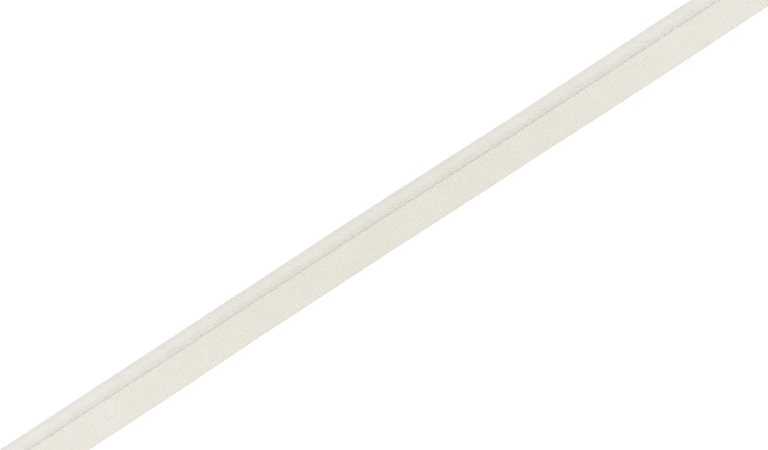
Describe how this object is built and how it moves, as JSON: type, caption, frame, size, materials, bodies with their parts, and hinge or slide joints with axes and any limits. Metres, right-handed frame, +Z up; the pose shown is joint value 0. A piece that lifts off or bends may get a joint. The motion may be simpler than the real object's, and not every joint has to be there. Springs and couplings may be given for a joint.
{
  "type": "flanged cord",
  "caption": "Cut length of ivory flanged cord: a laid, twisted cord along the inner edge of a flat ribbed tape, for sewing into a seam as piping.",
  "frame": {"origin": "under the middle of the strip's box, on the flat surface that it lies on", "axes": "+X along the strip, +Y across it from the flange towards the cord, +Z up off the surface that it lies on"},
  "size_m": [0.3006, 0.015, 0.0046],
  "materials": {
    "cord_yarn": "soft twisted ivory yarn with a faint lustre",
    "flange_tape": "matt woven ivory tape with fine cross ribs"
  },
  "bodies": {
    "root": {"cord": "cord_yarn", "flange": "flange_tape"}
  },
  "joints": []
}
